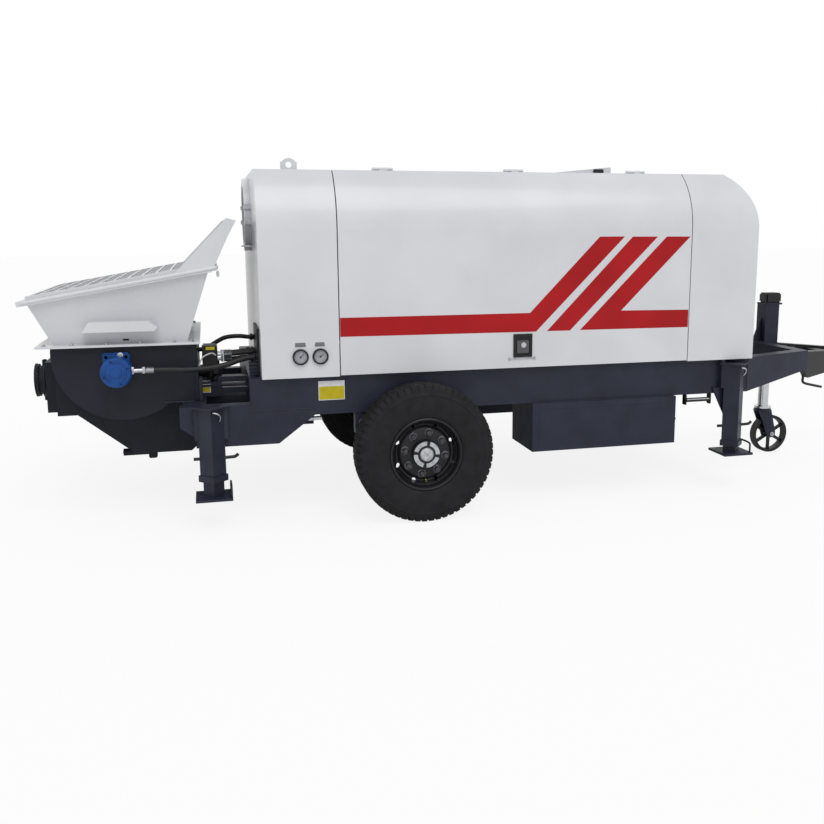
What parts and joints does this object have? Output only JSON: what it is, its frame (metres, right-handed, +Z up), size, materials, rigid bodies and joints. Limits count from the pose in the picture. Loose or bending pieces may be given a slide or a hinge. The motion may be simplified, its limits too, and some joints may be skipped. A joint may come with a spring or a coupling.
{
  "type": "trailer concrete pump",
  "caption": "Towed concrete pump with a tipping-height hopper, canopied power pack, support legs, jockey wheel and hinged tow bar.",
  "frame": {"origin": "middle of the whole length on the ground, on the middle plane", "axes": "+X to the towing end, -Y to the side with the gauges, +Z up"},
  "size_m": [5.89, 2, 2.0609],
  "materials": {
    "white_paint": "gloss enamel",
    "frame_paint": "dark blue-grey enamel",
    "black_paint": "satin black enamel",
    "motor_paint": "blue enamel",
    "steel": "bare steel",
    "cast_iron": "rough casting",
    "tyre": "black rubber",
    "black_plastic": "black plastic",
    "engine": "painted casting",
    "gauge": "gauge bezel"
  },
  "bodies": {
    "chassis": {"agitator_motor": "motor_paint", "axle_beam": "frame_paint", "bearing_cap": "frame_paint", "canopy_front": "white_paint", "canopy_rear": "white_paint", "canopy_roof": "white_paint", "chassis_frame": "frame_paint", "cooler_cowl": "white_paint", "delivery_cylinders": "frame_paint", "drive_cylinders": "black_paint", "engine_block": "engine", "gauges": "gauge", "hopper_funnel": "white_paint", "hopper_trough": "frame_paint", "jockey_post": "frame_paint", "leaf_springs": "black_paint", "leg_sleeves": "frame_paint", "lifting_lugs": "white_paint", "outlet_pipe": "frame_paint", "radiator": "black_paint", "radiator_grille": "white_paint", "roof_cowl": "white_paint", "side_box_far": "frame_paint", "side_box_near": "frame_paint", "tow_pins": "steel", "water_box": "frame_paint"},
    "door_near": {"door_near": "white_paint", "latch_near": "black_plastic"},
    "door_far": {"door_far": "white_paint", "latch_far": "black_plastic"},
    "wheel_near": {"tyre_near": "tyre", "rim_near": "black_paint"},
    "wheel_far": {"tyre_far": "tyre", "rim_far": "black_paint"},
    "leg_rear_near": {"leg_rear_near": "frame_paint"},
    "leg_rear_far": {"leg_rear_far": "frame_paint"},
    "leg_front_near": {"leg_front_near": "frame_paint"},
    "leg_front_far": {"leg_front_far": "frame_paint"},
    "hopper_grate": {"hopper_grille": "black_paint"},
    "cleanout": {"cleanout_door": "frame_paint"},
    "swing_valve": {"swing_tube": "cast_iron"},
    "agitator_shaft": {"agitator": "cast_iron"},
    "jockey_slide": {"jockey_ram": "steel"},
    "jockey_caster": {"jockey_fork": "frame_paint"},
    "jockey_roller": {"jockey_wheel": "black_paint"},
    "drawbar": {"tow_bar": "black_paint", "tow_eye": "black_paint"}
  },
  "joints": [
    {"name": "wheel_near_spin", "type": "hinge", "parent": "chassis", "child": "wheel_near", "pos_m": [-0.755, -0.895, 0.4], "axis": [0, 1, 0], "continuous": true},
    {"name": "wheel_far_spin", "type": "hinge", "parent": "chassis", "child": "wheel_far", "pos_m": [-0.755, 0.895, 0.4], "axis": [0, 1, 0], "continuous": true},
    {"name": "leg_rear_near_drop", "type": "slide", "parent": "chassis", "child": "leg_rear_near", "axis": [0, 0, -1], "range_m": [0, 0.19]},
    {"name": "leg_rear_far_drop", "type": "slide", "parent": "chassis", "child": "leg_rear_far", "axis": [0, 0, -1], "range_m": [0, 0.19]},
    {"name": "leg_front_near_drop", "type": "slide", "parent": "chassis", "child": "leg_front_near", "axis": [0, 0, -1], "range_m": [0, 0.235]},
    {"name": "leg_front_far_drop", "type": "slide", "parent": "chassis", "child": "leg_front_far", "axis": [0, 0, -1], "range_m": [0, 0.235]},
    {"name": "door_near_lift", "type": "hinge", "parent": "chassis", "child": "door_near", "pos_m": [-0.122, -0.6, 2.004], "axis": [-1, 0, 0], "range_deg": [0, 85]},
    {"name": "door_far_lift", "type": "hinge", "parent": "chassis", "child": "door_far", "pos_m": [-0.122, 0.6, 2.004], "axis": [1, 0, 0], "range_deg": [0, 85]},
    {"name": "grate_lift", "type": "hinge", "parent": "chassis", "child": "hopper_grate", "pos_m": [-1.96196, 0, 1.4626], "axis": [0, 1, 0], "range_deg": [0, 90]},
    {"name": "cleanout_open", "type": "hinge", "parent": "chassis", "child": "cleanout", "pos_m": [-2.141, 0, 0.339], "axis": [0, -1, 0], "range_deg": [0, 80]},
    {"name": "valve_swing", "type": "hinge", "parent": "chassis", "child": "swing_valve", "pos_m": [-2.355, 0, 0.774], "axis": [1, 0, 0], "range_deg": [-44.2, 44.2]},
    {"name": "agitator_spin", "type": "hinge", "parent": "chassis", "child": "agitator_shaft", "pos_m": [-2.425, 0, 0.895], "axis": [0, 1, 0], "continuous": true},
    {"name": "jockey_raise", "type": "slide", "parent": "chassis", "child": "jockey_slide", "axis": [0, 0, 1], "range_m": [0, 0.21]},
    {"name": "jockey_swivel", "type": "hinge", "parent": "jockey_slide", "child": "jockey_caster", "pos_m": [2.065, 0, 0.32], "axis": [0, 0, 1], "continuous": true},
    {"name": "jockey_spin", "type": "hinge", "parent": "jockey_caster", "child": "jockey_roller", "pos_m": [2.125, 0, 0.14], "axis": [0, 1, 0], "continuous": true},
    {"name": "drawbar_pitch", "type": "hinge", "parent": "chassis", "child": "drawbar", "pos_m": [2.07, 0, 0.74], "axis": [0, -1, 0], "range_deg": [-25, 60]}
  ]
}
